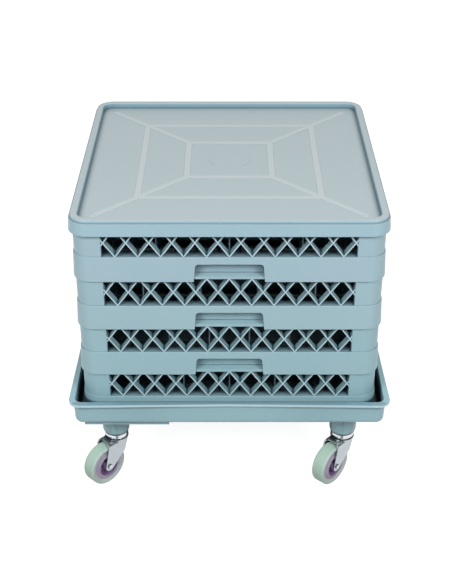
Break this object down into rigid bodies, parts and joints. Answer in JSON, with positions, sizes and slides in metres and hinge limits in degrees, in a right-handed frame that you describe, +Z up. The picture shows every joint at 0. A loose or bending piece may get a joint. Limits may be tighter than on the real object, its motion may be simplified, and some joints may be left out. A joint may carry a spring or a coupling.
{
  "type": "glass rack dolly",
  "caption": "Stack of square lattice-walled plastic glass racks with interlocking dividers under a flat lid, standing in a shallow dolly tray on swivel casters.",
  "frame": {"origin": "on the floor under the middle of the tray", "axes": "+Z up; +X to the right of someone who faces the front; the front towards -Y"},
  "size_m": [0.542, 0.542, 0.5342],
  "materials": {
    "rack_plastic": "fine moulded satin",
    "divider_plastic": "fine moulded satin",
    "lid_plastic": "fine moulded satin",
    "tray_plastic": "fine moulded satin",
    "chrome_steel": "bright plated",
    "zinc_steel": "zinc plated",
    "hub_plastic": "moulded gloss",
    "tread_rubber": "smooth moulded"
  },
  "bodies": {
    "dolly": {"tray": "tray_plastic", "caster_stems": "zinc_steel", "caster_stem_nuts": "zinc_steel", "caster_fl_race_cup": "chrome_steel", "caster_fr_race_cup": "chrome_steel", "caster_rl_race_cup": "chrome_steel", "caster_rr_race_cup": "chrome_steel"},
    "swivel_fl": {"caster_fl_fork": "chrome_steel", "caster_fl_balls": "zinc_steel", "caster_fl_axle_bolt": "zinc_steel", "caster_fl_axle_nut": "zinc_steel", "caster_fl_sleeve": "zinc_steel"},
    "wheel_fl": {"caster_fl_hub": "hub_plastic", "caster_fl_tread": "tread_rubber"},
    "swivel_fr": {"caster_fr_fork": "chrome_steel", "caster_fr_balls": "zinc_steel", "caster_fr_axle_bolt": "zinc_steel", "caster_fr_axle_nut": "zinc_steel", "caster_fr_sleeve": "zinc_steel"},
    "wheel_fr": {"caster_fr_hub": "hub_plastic", "caster_fr_tread": "tread_rubber"},
    "swivel_rl": {"caster_rl_fork": "chrome_steel", "caster_rl_balls": "zinc_steel", "caster_rl_axle_bolt": "zinc_steel", "caster_rl_axle_nut": "zinc_steel", "caster_rl_sleeve": "zinc_steel"},
    "wheel_rl": {"caster_rl_hub": "hub_plastic", "caster_rl_tread": "tread_rubber"},
    "swivel_rr": {"caster_rr_fork": "chrome_steel", "caster_rr_balls": "zinc_steel", "caster_rr_axle_bolt": "zinc_steel", "caster_rr_axle_nut": "zinc_steel", "caster_rr_sleeve": "zinc_steel"},
    "wheel_rr": {"caster_rr_hub": "hub_plastic", "caster_rr_tread": "tread_rubber"},
    "rack_4": {"rack_4_sides": "rack_plastic", "rack_4_corners": "rack_plastic", "rack_4_lattice": "rack_plastic", "rack_4_floor": "rack_plastic", "rack_4_long_dividers": "divider_plastic", "rack_4_cross_dividers": "divider_plastic"},
    "rack_3": {"rack_3_sides": "rack_plastic", "rack_3_corners": "rack_plastic", "rack_3_lattice": "rack_plastic", "rack_3_floor": "rack_plastic", "rack_3_long_dividers": "divider_plastic", "rack_3_cross_dividers": "divider_plastic"},
    "rack_2": {"rack_2_sides": "rack_plastic", "rack_2_corners": "rack_plastic", "rack_2_lattice": "rack_plastic", "rack_2_floor": "rack_plastic", "rack_2_long_dividers": "divider_plastic", "rack_2_cross_dividers": "divider_plastic"},
    "rack_1": {"rack_1_sides": "rack_plastic", "rack_1_corners": "rack_plastic", "rack_1_lattice": "rack_plastic", "rack_1_floor": "rack_plastic", "rack_1_long_dividers": "divider_plastic", "rack_1_cross_dividers": "divider_plastic"},
    "lid": {"lid": "lid_plastic"}
  },
  "joints": [
    {"name": "swivel_fl_turn", "type": "hinge", "parent": "dolly", "child": "swivel_fl", "pos_m": [-0.2005, -0.2005, 0.083], "axis": [0, 0, 1], "continuous": true},
    {"name": "wheel_fl_spin", "type": "hinge", "parent": "swivel_fl", "child": "wheel_fl", "pos_m": [-0.22293, -0.22332, 0.0375], "axis": [0.7133, -0.7009, 0], "continuous": true},
    {"name": "swivel_fr_turn", "type": "hinge", "parent": "dolly", "child": "swivel_fr", "pos_m": [0.2005, -0.2005, 0.083], "axis": [0, 0, 1], "continuous": true},
    {"name": "wheel_fr_spin", "type": "hinge", "parent": "swivel_fr", "child": "wheel_fr", "pos_m": [0.17909, -0.22428, 0.0375], "axis": [0.7431, -0.6691, 0], "continuous": true},
    {"name": "swivel_rl_turn", "type": "hinge", "parent": "dolly", "child": "swivel_rl", "pos_m": [-0.2005, 0.2005, 0.083], "axis": [0, 0, 1], "continuous": true},
    {"name": "wheel_rl_spin", "type": "hinge", "parent": "swivel_rl", "child": "wheel_rl", "pos_m": [-0.22428, 0.17909, 0.0375], "axis": [0.6691, -0.7431, 0], "continuous": true},
    {"name": "swivel_rr_turn", "type": "hinge", "parent": "dolly", "child": "swivel_rr", "pos_m": [0.2005, 0.2005, 0.083], "axis": [0, 0, 1], "continuous": true},
    {"name": "wheel_rr_spin", "type": "hinge", "parent": "swivel_rr", "child": "wheel_rr", "pos_m": [0.18036, 0.17563, 0.0375], "axis": [0.7771, -0.6293, 0], "continuous": true},
    {"name": "rack_4_lift", "type": "slide", "parent": "dolly", "child": "rack_4", "axis": [0, 0, 1], "range_m": [0, 0.15]},
    {"name": "rack_3_lift", "type": "slide", "parent": "rack_4", "child": "rack_3", "axis": [0, 0, 1], "range_m": [0, 0.15]},
    {"name": "rack_2_lift", "type": "slide", "parent": "rack_3", "child": "rack_2", "axis": [0, 0, 1], "range_m": [0, 0.15]},
    {"name": "rack_1_lift", "type": "slide", "parent": "rack_2", "child": "rack_1", "axis": [0, 0, 1], "range_m": [0, 0.15]},
    {"name": "lid_lift", "type": "slide", "parent": "rack_1", "child": "lid", "axis": [0, 0, 1], "range_m": [0, 0.15]}
  ]
}
